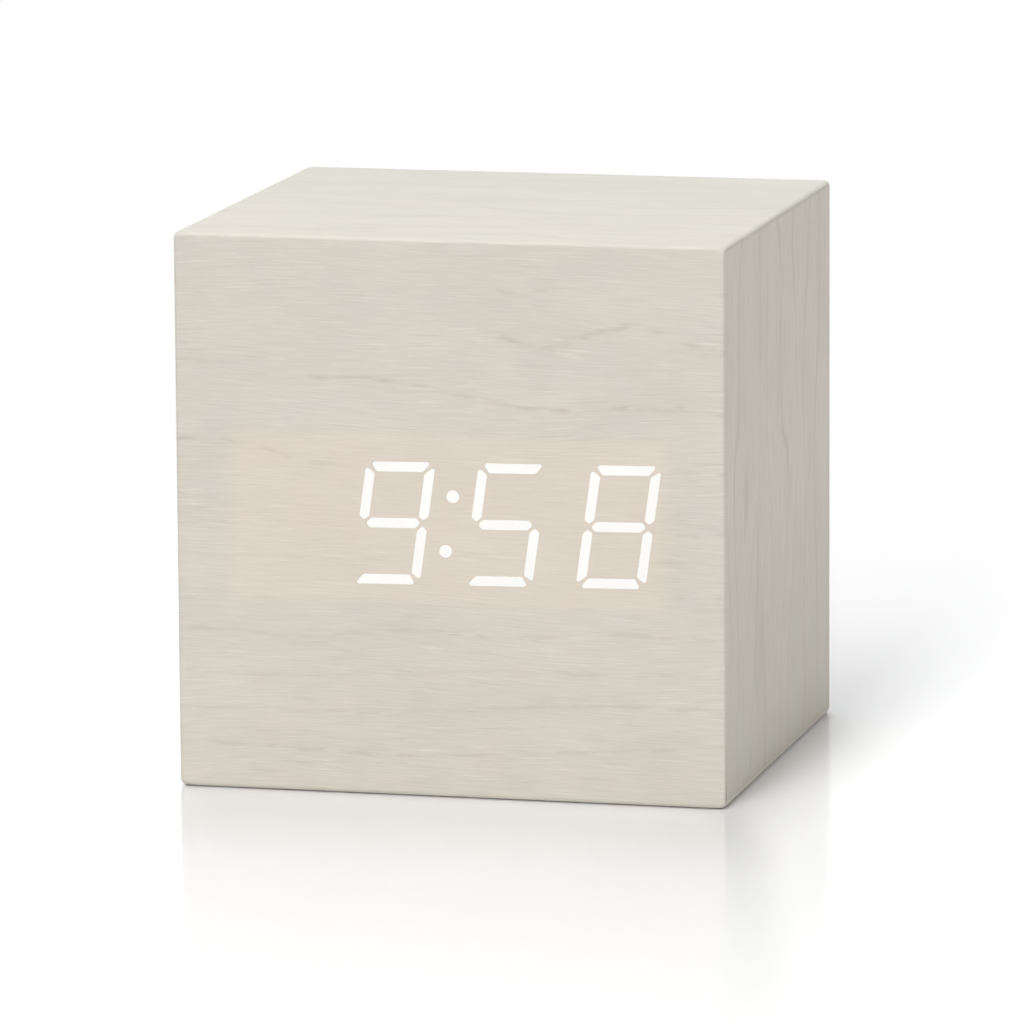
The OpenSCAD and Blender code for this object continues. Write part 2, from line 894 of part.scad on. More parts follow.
// Sheets at the two ends of the pocket. A pair of cells shares one sheet,
// and the odd cell's sheet has a tab up through the bay for its lead.
module contact_plates() {
    color("silver") for (s = [-1, 1]) {
        single = s * cell_y(cells - 1);
        translate([s * (pocket_x - contact_t) / 2, 0, cell_z - contact_h / 2]) {
            translate([0, single, 0]) block(contact_t, cell_pitch - contact_air, contact_h);
            translate([0, single, 0]) block(contact_t, tab_w, tab_top - cell_z + contact_h / 2);
            translate([0, -s * cell_pitch / 2, 0]) block(contact_t, 2 * cell_pitch - contact_air, contact_h);
        }
    }
}

module contact_springs() {
    steps = 12 * spring_turns;
    rise = spring_len - 2 * spring_wire_r - 2 * close;
    coil = [for (i = [0 : steps])
        let (s = i / steps, turn = 360 * spring_turns * s)
        let (r = spring_base_r + s * (spring_tip_r - spring_base_r))
        [r * cos(turn), r * sin(turn), spring_wire_r + close + s * rise]];
    color("silver") for (i = [0 : cells - 1])
        translate([-plus_side(i) * (pocket_x / 2 - contact_t), cell_y(i), cell_z])
            rotate([0, plus_side(i) * 90, 0]) wire(coil, spring_wire_r, [0, 0, 1], 6);
}

module batteries() {
    r = cell_d / 2;
    color("slategray") for (i = [0 : cells - 1])
        translate([plus_side(i) * (pocket_x / 2 - contact_t - close), cell_y(i), cell_z])
            rotate([0, -plus_side(i) * 90, 0]) rotate_extrude() polygon([
                [0, 0], [nub_d / 2, 0], [nub_d / 2, nub_h], [r - shoulder, nub_h], [r, nub_h + shoulder],
                [r, cell_len - shoulder], [r - shoulder, cell_len], [0, cell_len]]);
}

// A flap on a barrel with two pins, and a springy tongue with a bead at its free edge
module battery_door() {
    door_w = pocket_x - 2 * door_gap;
    color("dimgray") difference() {
        union() {
            translate([-door_w / 2, hinge_y, door_recess]) cube([door_w, door_rear - hinge_y, door_t]);
            translate([0, hinge_y, hinge_z]) rotate([0, 90, 0]) {
                cylinder(h = door_w, r = barrel_r, center = true);
                cylinder(h = pocket_x + 2 * pin_reach, r = pin_r, center = true);
            }
            translate([0, door_rear, door_recess + door_t / 2]) rotate([0, 90, 0])
                cylinder(h = bead_w, r = bead, center = true);
        }
        for (s = [-1, 1])
            translate([s * (tongue_w + tongue_slot) / 2, door_rear - tongue_l / 2, 0])
                block(tongue_slot, tongue_l + over, door_top + over);
        translate([0, door_rear - tongue_l / 2, door_recess + scoop_depth - scoop_r]) rotate([0, 90, 0])
            cylinder(h = scoop_w, r = scoop_r, center = true);
    }
}

// Leads from the contact tabs to the main board
module lead(side) {
    tab = [side * (pocket_x - contact_t) / 2, side * cell_y(cells - 1), tab_top + close];
    pad = [side * pads_x, main_back - close, pads_z];
    pull = (pad[1] - tab[1]) / 2;
    wire(curve(tab, [0, 0, lead_rise], pad, [0, -pull, 0], 16), lead_r, [side, 0, 0]);
}

module red_lead() {
    color("firebrick") lead(1);
}

module black_lead() {
    color("black") lead(-1);
}

front_panel();
top_panel();
rear_panel();
bottom_panel();
left_panel();
right_panel();
veneer_wrap();
left_veneer();
right_veneer();
reflector();
lit_segments();
unlit_segments();
led_chips();
display_board();
display_driver();
display_spacers();
display_screws();
display_socket();
control_plate();
plate_screws();
set_button();
up_button();
down_button();
set_plunger();
up_plunger();
down_plunger();
switch_bodies();
usb_shell();
usb_insert();
microphone();
buzzer();
main_board();
board_screws();
controller_chip();
clock_crystal();
filter_capacitor();
backup_cell();
backup_cell_clip();
main_socket();
ribbon_cable();
battery_bay();
bay_screws();
contact_plates();
contact_springs();
batteries();
battery_door();
red_lead();
black_lead();
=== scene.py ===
import math

import bpy
import numpy as np
from mathutils import Matrix, Vector


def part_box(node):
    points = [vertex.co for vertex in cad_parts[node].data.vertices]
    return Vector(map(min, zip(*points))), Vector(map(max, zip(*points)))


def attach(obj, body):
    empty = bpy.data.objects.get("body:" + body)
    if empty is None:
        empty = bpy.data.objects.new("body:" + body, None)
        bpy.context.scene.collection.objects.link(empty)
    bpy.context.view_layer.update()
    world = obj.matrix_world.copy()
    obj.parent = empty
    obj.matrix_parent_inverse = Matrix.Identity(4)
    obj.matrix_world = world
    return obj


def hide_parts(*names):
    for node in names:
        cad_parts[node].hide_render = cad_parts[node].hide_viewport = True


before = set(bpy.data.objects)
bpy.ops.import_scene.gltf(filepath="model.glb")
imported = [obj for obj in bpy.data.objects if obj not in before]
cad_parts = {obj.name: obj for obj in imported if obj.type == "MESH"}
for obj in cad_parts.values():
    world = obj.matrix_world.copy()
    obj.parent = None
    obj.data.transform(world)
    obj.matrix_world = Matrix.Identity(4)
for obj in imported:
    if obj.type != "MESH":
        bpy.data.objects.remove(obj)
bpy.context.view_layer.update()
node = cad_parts

# Case boards
# Six fibreboard panels, mitred and glued into a box. The board is brown and felted all
# through; the base panel's raised field is lacquered in the veneer's pale colour.
MM = 0.001
FLECKS_PER_M = 1800
PATCHES_PER_M = 160
FLECK_DEPTH = 0.02 * MM
LACQUER_DEPTH = 0.008 * MM
LACQUER_EDGE = 0.2 * MM


def linear(red, green, blue):
    """The colour that shows as this sRGB byte triple: ((c / 255 + 0.055) / 1.055) to the power 2.4."""
    share = (np.array([red, green, blue]) / 255 + 0.055) / 1.055
    return (*(share**2.4).tolist(), 1.0)


BOARD_BROWN = linear(158, 128, 96)
BOARD_RED = linear(172, 138, 104)
BOARD_DARK = linear(128, 100, 74)
LACQUER_DULL = linear(203, 197, 185)
LACQUER_PALE = linear(211, 205, 193)


def add(tree, kind, settings, inputs):
    """Adds a shader node. Settings go on the node; an input is a plain value or a socket to link from."""
    made = tree.nodes.new("ShaderNode" + kind)
    for name, value in settings.items():
        setattr(made, name, value)
    for name, value in inputs.items():
        if isinstance(value, bpy.types.NodeSocket):
            tree.links.new(value, made.inputs[name])
        else:
            made.inputs[name].default_value = value
    return made


def ramp(tree, value, low, high, start=0.0, end=1.0):
    """A smooth step from start to end while the value goes from low to high."""
    settings = {"interpolation_type": "SMOOTHSTEP"}
    inputs = {"Value": value, "From Min": low, "From Max": high, "To Min": start, "To Max": end}
    return add(tree, "MapRange", settings, inputs).outputs["Result"]


def mix(tree, share, a, b):
    """Colour a where the share is 0 and colour b where it is 1."""
    return add(tree, "Mix", {"data_type": "RGBA"}, {0: share, 6: a, 7: b}).outputs[2]


def stretch(tree, vector, scale, shift):
    """The vector times a scale for each axis, moved along by a shift."""
    settings = {"operation": "MULTIPLY_ADD"}
    return add(tree, "VectorMath", settings, {0: vector, 1: scale, 2: (shift, shift, shift)}).outputs[0]


def noise(tree, vector, detail=2.0, roughness=0.5):
    """Cloudy noise about 0.5, one cloud to each unit of the vector."""
    inputs = {"Vector": vector, "Scale": 1.0, "Detail": detail, "Roughness": roughness}
    return add(tree, "TexNoise", {}, inputs).outputs["Fac"]


def place(tree):
    """Where a point is on the object, in metres from the middle of the base."""
    return add(tree, "TexCoord", {}, {}).outputs["Object"]


def axis(tree, name):
    """One coordinate of a point's place on the object: X, Y or Z."""
    return add(tree, "SeparateXYZ", {}, {"Vector": place(tree)}).outputs[name]


def start_material(name, sockets):
    """A node material, with plain values on the named sockets of its Principled shader."""
    made = bpy.data.materials.new(name)
    made.use_nodes = True
    shader = made.node_tree.nodes["Principled BSDF"]
    for socket, value in sockets.items():
        shader.inputs[socket].default_value = value
    return made, made.node_tree, shader


def feed(tree, shader, sockets):
    """Links values that vary over the surface to the shader's sockets."""
    for name, source in sockets.items():
        tree.links.new(source, shader.inputs[name])


def bump(tree, height, depth):
    """The normal of a surface that stands depth metres proud where the height is 1."""
    return add(tree, "Bump", {}, {"Height": height, "Distance": depth, "Strength": 1.0}).outputs["Normal"]


def paint(finish, *names):
    """Gives CAD nodes their finish."""
    for name in names:
        node[name].data.materials.clear()
        node[name].data.materials.append(finish)


def start_group(name, inputs, outputs):
    """A node group with named sockets. Returns its tree, what comes in and what goes out."""
    tree = bpy.data.node_groups.new(name, "ShaderNodeTree")
    for label, kind in inputs:
        tree.interface.new_socket(label, in_out="INPUT", socket_type="NodeSocket" + kind)
    for label in outputs:
        tree.interface.new_socket(label, in_out="OUTPUT", socket_type="NodeSocketFloat")
    came_in = tree.nodes.new("NodeGroupInput").outputs
    goes_out = tree.nodes.new("NodeGroupOutput").inputs
    return tree, came_in, goes_out


# Flecks are short felted fibres: fine noise for the fleck and coarse noise for the patch
felt, came_in, goes_out = start_group("felted_flecks", [("Place", "Vector")], ["Fleck", "Patch"])
fine = noise(felt, stretch(felt, came_in["Place"], (FLECKS_PER_M,) * 3, 0), 3.0, 0.7)
coarse = noise(felt, stretch(felt, came_in["Place"], (PATCHES_PER_M,) * 3, 9))
felt.links.new(ramp(felt, fine, 0.35, 0.68), goes_out["Fleck"])
felt.links.new(ramp(felt, coarse, 0.3, 0.7), goes_out["Patch"])


def board_colour(tree):
    """Brown fibreboard: dark and light flecks, over patches that are a little redder."""
    flecks = add(tree, "Group", {"node_tree": felt}, {"Place": place(tree)}).outputs
    ground = mix(tree, flecks["Patch"], BOARD_BROWN, BOARD_RED)
    return mix(tree, flecks["Fleck"], BOARD_DARK, ground), flecks["Fleck"]


fibreboard, tree, shader = start_material("fibreboard", {"Roughness": 0.85})
colour, fleck = board_colour(tree)
feed(tree, shader, {"Base Color": colour, "Normal": bump(tree, fleck, FLECK_DEPTH)})
paint(fibreboard, "front_panel", "top_panel", "rear_panel", "left_panel", "right_panel")

lacquered_board, tree, shader = start_material("lacquered_board", {"Roughness": 0.6})
colour, fleck = board_colour(tree)
lacquer = ramp(tree, axis(tree, "Z"), LACQUER_EDGE, LACQUER_EDGE / 2)
colour = mix(tree, lacquer, colour, mix(tree, fleck, LACQUER_DULL, LACQUER_PALE))
feed(tree, shader, {"Base Color": colour, "Normal": bump(tree, fleck, LACQUER_DEPTH)})
paint(lacquered_board, "bottom_panel")

# Veneer wrap
# One sheet of whitewashed wood, glued round the front, top and rear with its grain level.
# Its margins are turned over the rounded edges on to the sides and the base.
VENEER_T = 0.4 * MM
EDGE_R = 0.42 * MM
LIP = 0.2 * MM
CORNER_REACH = 2.0 * MM
CORNER_BALL = 2.93 * MM
GLOW_PROUD = 0.02 * MM
PLATE_W = 49.0 * MM
PLATE_H = 15.0 * MM
PLATE_R = 3.0 * MM
PLATE_AIR = 0.2 * MM
FLAT_STEPS = 64
TURN_STEPS = 6
RING_STEPS = 8
QUARTER = np.linspace(0, math.pi / 2, TURN_STEPS + 1)[1:-1]
SAME_SPOT = 0.001 * MM
CREASE = math.radians(35)


def put(made):
    """Puts a finished object into the scene."""
    bpy.context.scene.collection.objects.link(made)


def link_piece(name, points, faces, grain=None):
    """Makes a mesh object of the points and faces, with its grain as a vector in millimetres."""
    mesh = bpy.data.meshes.new(name)
    corners = [list(dict.fromkeys(face)) for face in faces.tolist()]
    mesh.from_pydata(points.tolist(), [], [face for face in corners if len(face) > 2])
    if grain is not None:
        mesh.attributes.new("grain", "FLOAT_VECTOR", "POINT").data.foreach_set("vector", grain.ravel())
    mesh.shade_smooth()
    mesh.set_sharp_from_angle(angle=CREASE)
    made = bpy.data.objects.new(name, mesh)
    put(made)
    return made


def grid(x, y, z):
    """The points of a grid, from rows, columns or single values of x, y and z."""
    return np.stack(np.broadcast_arrays(x, y, z), -1)


def quads(index):
    """The four-cornered faces between neighbouring rows and columns of a grid of point numbers."""
    return np.stack([index[:-1, :-1], index[1:, :-1], index[1:, 1:], index[:-1, 1:]], -1).reshape(-1, 4)


def merged(points, faces, *values):
    """Points in one place become one point, and the faces and the points' other values follow."""
    spot = np.round(points / SAME_SPOT).astype(int)
    _, kept, same = np.unique(spot, axis=0, return_index=True, return_inverse=True)
    return points[kept], same.reshape(-1)[faces], *[value[kept] for value in values]


def thick(points, faces, normals, grain):
    """The sheet, a copy of it set back by its thickness, and a strip between the two at each free edge."""
    count = len(points)
    edges = np.stack([faces, np.roll(faces, -1, axis=1)], -1).reshape(-1, 2)
    edges = edges[edges[:, 0] != edges[:, 1]]
    free = edges[~np.isin(edges @ [count, 1], edges @ [1, count])]
    strip = np.stack([free[:, 1], free[:, 0], free[:, 0] + count, free[:, 1] + count], -1)
    both = np.vstack([points, points - VENEER_T * normals])
    return both, np.vstack([faces, faces[:, ::-1] + count, strip]), np.vstack([grain, grain])


def stops(length):
    """Places along a flat stretch: its ends, a lip in from each end, and even steps between."""
    return np.concatenate([[0], np.linspace(LIP, length - LIP, FLAT_STEPS + 1), [length]])


def wrap_path(core_low, core_high):
    """The sheet's way round the core: up the front, over the top, down the rear and along the base.

    Each row of it has the turn of its normal, its place in y and z, and the length walked to it.
    """
    front, base = core_low[1:]
    rear, top = core_high[1:]
    corners = np.array([(front, base), (front, top), (rear, top), (rear, base), (front, base)])
    turn, place_on, along, walked = [], [], [], EDGE_R
    for side in range(4):
        start, end = corners[side : side + 2]
        length = np.abs(end - start).sum()
        flat = stops(length)
        turn += [np.full(len(flat), side * math.pi / 2), side * math.pi / 2 + QUARTER]
        place_on += [start + (end - start) * flat[:, None] / length, np.tile(end, (len(QUARTER), 1))]
        along += [walked + flat, walked + length + EDGE_R * QUARTER]
        walked += length + EDGE_R * math.pi / 2
    return np.concatenate(turn), np.vstack(place_on), np.concatenate(along)


def wrap_skin(low, high):
    """Grids of the wrap's outer points, normals and grain: point = core point + edge radius * normal.

    The core is the case's box taken in by the edge radius. The normal is cos t * n + sin t * x, where
    n is the outward normal of the sheet's way round and t turns from -90 to 90 degrees across the
    width. A lip lies flat on each side, and at the eight corners the skin stays within a ball
    about a hub inside the corner.
    """
    core_low = low + EDGE_R
    core_high = high - EDGE_R
    turn, place_on, along = wrap_path(core_low, core_high)
    ahead = -np.cos(turn)[:, None]
    up = np.sin(turn)[:, None]
    flat_x = core_low[0] + stops(core_high[0] - core_low[0])
    tilt = np.concatenate([[-math.pi / 2], -QUARTER[::-1], 0 * flat_x, QUARTER, [math.pi / 2]])
    core_x = np.concatenate([np.full(TURN_STEPS, core_low[0]), flat_x, np.full(TURN_STEPS, core_high[0])])
    normal = grid(np.sin(tilt), ahead * np.cos(tilt), up * np.cos(tilt))
    skin = grid(core_x, place_on[:, :1], place_on[:, 1:]) + EDGE_R * normal
    grain = grid(core_x + EDGE_R * tilt, along[:, None], 0.0)

    lip = np.clip(place_on, core_low[1:] + LIP, core_high[1:] - LIP)
    left_lip, right_lip = (grid(x, lip[:, :1], lip[:, 1:]) for x in (low[0], high[0]))
    sideways = np.zeros_like(left_lip) + [1.0, 0.0, 0.0]
    skin = np.concatenate([left_lip, skin, right_lip], axis=1)
    normal = np.concatenate([-sideways, normal, sideways], axis=1)
    grain = np.concatenate([grain[:, :1] - LIP * sideways, grain, grain[:, -1:] + LIP * sideways], axis=1)

    hub = np.clip(skin, low + CORNER_REACH, high - CORNER_REACH)
    spoke = skin - hub
    reach = np.linalg.norm(spoke, axis=-1, keepdims=True)
    at_corner = np.all(spoke != 0, axis=-1, keepdims=True)
    skin = np.where(at_corner, hub + spoke * CORNER_BALL / np.maximum(reach, CORNER_BALL), skin)
    return skin, normal, grain


def rear_ring(border, middle):
    """Rings of points on the rear, from its border in to the opening: border + s * (opening - border).

    The opening's line is the border shrunk to the control plate and its air, with each corner drawn
    in to an arc.
    """
    half = np.array([PLATE_W, PLATE_H]) / 2 + PLATE_AIR
    arc_r = PLATE_R + PLATE_AIR
    flat = border[:, [0, 2]]
    span = (flat.max(0) - flat.min(0)) / 2
    sharp = (flat - flat.min(0) - span) / span * half
    arc_from = np.clip(sharp, arc_r - half, half - arc_r)
    spoke = sharp - arc_from
    reach = np.linalg.norm(spoke, axis=1, keepdims=True)
    opening = border.copy()
    opening[:, [0, 2]] = middle + arc_from + spoke * arc_r / np.maximum(reach, arc_r)
    return border[:, None] + (opening - border)[:, None] * np.linspace(0, 1, RING_STEPS + 1)[:, None]


def wrap_sheet(low, high, opening_middle):
    """The wrap's skin made thick. It is open under the base, and its rear is rings round the opening."""
    skin, normal, grain = wrap_skin(low, high)
    rows, columns = skin.shape[:2]
    index = np.arange(rows * columns).reshape(rows, columns)
    side_rows = FLAT_STEPS + TURN_STEPS + 2
    rear = 2 * side_rows + 1
    base = 3 * side_rows + 1
    first = TURN_STEPS + 2
    kept = np.ones((rows, columns - 1), bool)
    for row in (rear, base):
        kept[row : row + FLAT_STEPS, first : first + FLAT_STEPS] = False
    faces = quads(np.vstack([index, index[:1]]))[kept.ravel(), ::-1]

    block = skin[rear : rear + FLAT_STEPS + 1, first : first + FLAT_STEPS + 1]
    border = np.concatenate([block[0, :-1], block[:-1, -1], block[-1, :0:-1], block[::-1, 0]])
    ring = rear_ring(border, opening_middle)
    ring_index = index.size + np.arange(ring.size // 3).reshape(ring.shape[:2])
    ring_along = grain[rear, 0, 1] + border[0, 2] - ring[..., 2]
    ring_grain = grid(ring[..., 0], ring_along, 0.0)

    points = np.vstack([skin.reshape(-1, 3), ring.reshape(-1, 3)])
    normals = np.vstack([normal.reshape(-1, 3), np.tile([0.0, 1.0, 0.0], (ring.size // 3, 1))])
    grain = np.vstack([grain.reshape(-1, 3), ring_grain.reshape(-1, 3)]) / MM
    return thick(*merged(points, np.vstack([faces, quads(ring_index)]), normals, grain))


def box_of(name):
    """The low and the high corner of a CAD node's box."""
    return [np.array(corner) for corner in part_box(name)]


case_low, case_high = box_of("veneer_wrap")
plate_low, plate_high = box_of("control_plate")
plate_middle = np.array([0.0, (plate_low[2] + plate_high[2]) / 2])
sheet_low = case_low + [0.0, GLOW_PROUD, 0.0]
wrap = link_piece("veneer_sheet", *wrap_sheet(sheet_low, case_high, plate_middle))
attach(wrap, "clock_case")
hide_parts("veneer_wrap")

# Whitewashed grain, in millimetres along and across the fibres: fine fibres and broad clouds
# for the tone, sparse pale and dark streaks, rings that wander, and patches of blush
SWAY = 5.0
RING_PITCH = 7.0
RING_WANDER = 3.0
CLOUD_SHARE = 0.6


def sum_of(tree, kind, a, b):
    """One step of arithmetic on two values, such as ADD or MULTIPLY."""
    return add(tree, "Math", {"operation": kind}, {0: a, 1: b}).outputs[0]


def absolute(tree, value):
    """The value without its sign."""
    return add(tree, "Math", {"operation": "ABSOLUTE"}, {0: value}).outputs[0]


wood_marks = ["Tone", "Pale", "Dark", "Ring", "Blush"]
washed, came_in, goes_out = start_group("whitewashed_grain", [("Grain", "Vector")], wood_marks)
wander = noise(washed, stretch(washed, came_in["Grain"], (0.02, 0.06, 1), 89), 1.0)
sway = sum_of(washed, "MULTIPLY", sum_of(washed, "SUBTRACT", wander, 0.5), SWAY)
sway = add(washed, "CombineXYZ", {}, {"Y": sway}).outputs[0]
swayed = add(washed, "VectorMath", {"operation": "ADD"}, {0: came_in["Grain"], 1: sway}).outputs[0]


def fibre_noise(along, across, shift, detail=2.0, roughness=0.5):
    """Noise drawn out with the grain: so many clouds to a millimetre along and across the fibres."""
    return noise(washed, stretch(washed, swayed, (along, across, 1), shift), detail, roughness)


fibres = fibre_noise(0.2, 5.0, 0, 3.0, 0.6)
clouds = sum_of(washed, "MULTIPLY", sum_of(washed, "SUBTRACT", fibre_noise(0.05, 0.14, 21), 0.5), CLOUD_SHARE)
pale_streaks = fibre_noise(0.17, 4.6, 37)
dark_streaks = fibre_noise(0.14, 4.0, 53)
blush = fibre_noise(0.12, 0.16, 71)
across = add(washed, "SeparateXYZ", {}, {"Vector": swayed}).outputs["Y"]
rings = sum_of(washed, "DIVIDE", across, RING_PITCH)
rings = sum_of(washed, "ADD", rings, sum_of(washed, "MULTIPLY", wander, RING_WANDER))
rings = sum_of(washed, "PINGPONG", rings, 0.5)
washed.links.new(sum_of(washed, "ADD", fibres, clouds), goes_out["Tone"])
washed.links.new(ramp(washed, pale_streaks, 0.58, 0.72), goes_out["Pale"])
washed.links.new(ramp(washed, dark_streaks, 0.58, 0.74), goes_out["Dark"])
washed.links.new(ramp(washed, rings, 0.08, 0.0), goes_out["Ring"])
washed.links.new(ramp(washed, blush, 0.36, 0.64), goes_out["Blush"])

WASH_DEEP = linear(204, 199, 188)
WASH_DEEP_BLUSH = linear(206, 199, 188)
WASH_HIGH = linear(225, 219, 208)
WASH_HIGH_BLUSH = linear(227, 219, 208)
STREAK_PALE = linear(240, 236, 224)
STREAK_DARK = linear(190, 180, 167)
PALE_SHARE = 0.36
DARK_SHARE = 0.3
FIBRE_DEPTH = 0.03 * MM


def start_veneer(name):
    """Whitewashed veneer without its own marks: the material, its tree, shader, grain, streaks and colour."""
    made, tree, shader = start_material(name, {"Roughness": 0.6, "Specular IOR Level": 0.3})
    grain = add(tree, "Attribute", {"attribute_name": "grain"}, {}).outputs["Vector"]
    wood = add(tree, "Group", {"node_tree": washed}, {"Grain": grain}).outputs
    deep = mix(tree, wood["Blush"], WASH_DEEP, WASH_DEEP_BLUSH)
    high = mix(tree, wood["Blush"], WASH_HIGH, WASH_HIGH_BLUSH)
    colour = mix(tree, wood["Tone"], deep, high)
    colour = mix(tree, sum_of(tree, "MULTIPLY", wood["Pale"], PALE_SHARE), colour, STREAK_PALE)
    colour = mix(tree, sum_of(tree, "MULTIPLY", wood["Dark"], DARK_SHARE), colour, STREAK_DARK)
    feed(tree, shader, {"Normal": bump(tree, wood["Tone"], FIBRE_DEPTH)})
    return made, tree, shader, grain, wood, colour


# A growth line follows height + rise * u + swing * cos(2 pi (u - crest) / wave) along the grain u,
# and fades out at its ends and where the wash has covered it
LINE_FADE = 3.0
line_values = ["Height", "Rise", "Swing", "Wave", "Crest", "Start", "End", "Width"]
line_inputs = [("Grain", "Vector")] + [(name, "Float") for name in line_values]
growth, came_in, goes_out = start_group("growth_line", line_inputs, ["Line"])
u, v, _ = add(growth, "SeparateXYZ", {}, {"Vector": came_in["Grain"]}).outputs
phase = sum_of(growth, "DIVIDE", sum_of(growth, "SUBTRACT", u, came_in["Crest"]), came_in["Wave"])
wave = sum_of(growth, "COSINE", sum_of(growth, "MULTIPLY", phase, 2 * math.pi), 0.0)
middle = sum_of(growth, "ADD", came_in["Height"], sum_of(growth, "MULTIPLY", u, came_in["Rise"]))
middle = sum_of(growth, "ADD", middle, sum_of(growth, "MULTIPLY", wave, came_in["Swing"]))
wobble = noise(growth, stretch(growth, came_in["Grain"], (0.25, 0.25, 1), 5))
middle = sum_of(growth, "ADD", middle, sum_of(growth, "SUBTRACT", wobble, 0.5))
away = absolute(growth, sum_of(growth, "SUBTRACT", v, middle))
line = ramp(growth, sum_of(growth, "DIVIDE", away, came_in["Width"]), 1.0, 0.0)
begun = ramp(growth, sum_of(growth, "SUBTRACT", u, came_in["Start"]), -LINE_FADE, LINE_FADE)
ended = ramp(growth, sum_of(growth, "SUBTRACT", u, came_in["End"]), -LINE_FADE, LINE_FADE, 1.0, 0.0)
line = sum_of(growth, "MULTIPLY", line, sum_of(growth, "MULTIPLY", begun, ended))
cover = noise(growth, stretch(growth, came_in["Grain"], (0.3, 1.2, 1), 11))
line = sum_of(growth, "MULTIPLY", line, ramp(growth, cover, 0.36, 0.66))
growth.links.new(line, goes_out["Line"])

# Height, rise, swing, wave, crest, start, end, width and strength of the front's growth lines
front_lines = [
    (49.5, -0.07, 0.8, 37, -8, -19, 36, 0.51, 0.31),
    (56.8, 0, 1.5, 22.5, 23, 5, 36, 0.77, 0.28),
    (38.8, -0.13, 0.5, 20, -27, -36, -14, 0.51, 0.28),
    (54.2, 0.05, 0, 20, 0, -36, -29, 0.51, 0.22),
    (62.3, 0, 0.5, 10, 4, 4, 14, 0.59, 0.22),
    (36.1, 0, 0.1, 20, 0, -36, -26, 0.34, 0.22),
    (33, 0.01, 0.2, 24, 0, -34, -17, 0.34, 0.19),
    (29, 0.01, 0.1, 20, 0, -36, -15, 0.34, 0.2),
    (41.4, -0.02, 0.1, 20, 0, 28, 36, 0.34, 0.25),
    (33.3, 0, 0.1, 20, 0, 24, 36, 0.42, 0.19),
    (29.8, 0, 0.1, 20, 0, 22, 36, 0.34, 0.17),
    (25.6, 0, 0.1, 20, 0, 28, 36, 0.34, 0.2),
    (20, 0.022, 0.35, 27, -6, -36, 36, 0.42, 0.2),
    (15.2, 0.037, 0.3, 40, 5, -36, 36, 0.42, 0.17),
    (10.8, 0.04, 0.4, 50, -34, -36, 36, 0.42, 0.2),
    (5.7, 0.026, 0.7, 70, -36, -36, 36, 0.42, 0.23),
]
GROWTH_BROWN = linear(176, 162, 145)
wrap_veneer, tree, shader, grain, wood, colour = start_veneer("wrap_veneer")
marks = 0.0
for *values, strength in front_lines:
    inputs = {"Grain": grain, **dict(zip(line_values, map(float, values)))}
    line = add(tree, "Group", {"node_tree": growth}, inputs).outputs["Line"]
    marks = sum_of(tree, "MAXIMUM", marks, sum_of(tree, "MULTIPLY", line, strength))

# Past the front the sheet shows its rings. Painted shade tints the top darker and cooler towards the rear
TOP_SHADE = (0.823, 0.905, 0.925, 1.0)
TOP_SHADE_NEAR = 0.26
TOP_SHADE_FAR = 0.5
RING_SHARE = 0.12
case_d, case_h = (case_high - case_low)[1:] / MM
walked = add(tree, "SeparateXYZ", {}, {"Vector": grain}).outputs["Y"]
beyond = ramp(tree, walked, case_h, case_h + 1)
top_shade_share = ramp(tree, walked, case_h, case_h + case_d, TOP_SHADE_NEAR, TOP_SHADE_FAR)
top_shade_share = sum_of(tree, "MULTIPLY", beyond, top_shade_share)
on_top = ramp(tree, walked, case_h + case_d + 1, case_h + case_d - 1)
top_shade_mix = {0: sum_of(tree, "MULTIPLY", top_shade_share, on_top), 6: colour, 7: TOP_SHADE}
colour = add(tree, "Mix", {"data_type": "RGBA", "blend_type": "MULTIPLY"}, top_shade_mix).outputs[2]
rings = sum_of(tree, "MULTIPLY", sum_of(tree, "MULTIPLY", wood["Ring"], beyond), RING_SHARE)
colour = mix(tree, sum_of(tree, "MAXIMUM", marks, rings), colour, GROWTH_BROWN)

# Painted light: the lamps behind the thinned window warm the sheet's colour a little in front of the display
PAINTED_BACKLIGHT = linear(242, 221, 202)
BACKLIGHT_SHARE = 0.25
BACKLIGHT_SOFT_X = 1.6 * MM
BACKLIGHT_SOFT_Z = 0.5 * MM
window_low, window_high = box_of("reflector")
window_middle = (window_low + window_high) / 2
window_half = (window_high - window_low) / 2
backlight_mask = ramp(tree, axis(tree, "Y"), case_low[1] + EDGE_R, case_low[1])
for name, number, soft in (("X", 0, BACKLIGHT_SOFT_X), ("Z", 2, BACKLIGHT_SOFT_Z)):
    away = absolute(tree, sum_of(tree, "SUBTRACT", axis(tree, name), window_middle[number]))
    edge = ramp(tree, away, window_half[number] + soft, window_half[number] - soft)
    backlight_mask = sum_of(tree, "MULTIPLY", backlight_mask, edge)
colour = mix(tree, sum_of(tree, "MULTIPLY", backlight_mask, BACKLIGHT_SHARE), colour, PAINTED_BACKLIGHT)
feed(tree, shader, {"Base Color": colour})
wrap.data.materials.append(wrap_veneer)

# Side sheets
# Two more sheets of the same veneer, glued on the ends inside the wrap's turned margins with
# their grain upright. The right one's seam at the front edge gapes a little near the base.
SEAM = 0.02 * MM
GAPE = 0.45 * MM
GAPE_HEIGHT = 5.0 * MM
SIDE_RING = linear(176, 166, 152)
SIDE_RING_SHARE = 0.25
SIDE_DARK = linear(178, 172, 158)
SIDE_DARK_SHARE = 0.45
# Painted shade: the side sheets are coloured darker and greener towards the base, for the weaker light from
# the table there
SIDE_LOW_SHADE = linear(192, 190, 176)
SIDE_LOW_SHADE_SHARE = 0.5
LOW_SHADE_FROM = 42 * MM
LOW_SHADE_FULL = 4 * MM


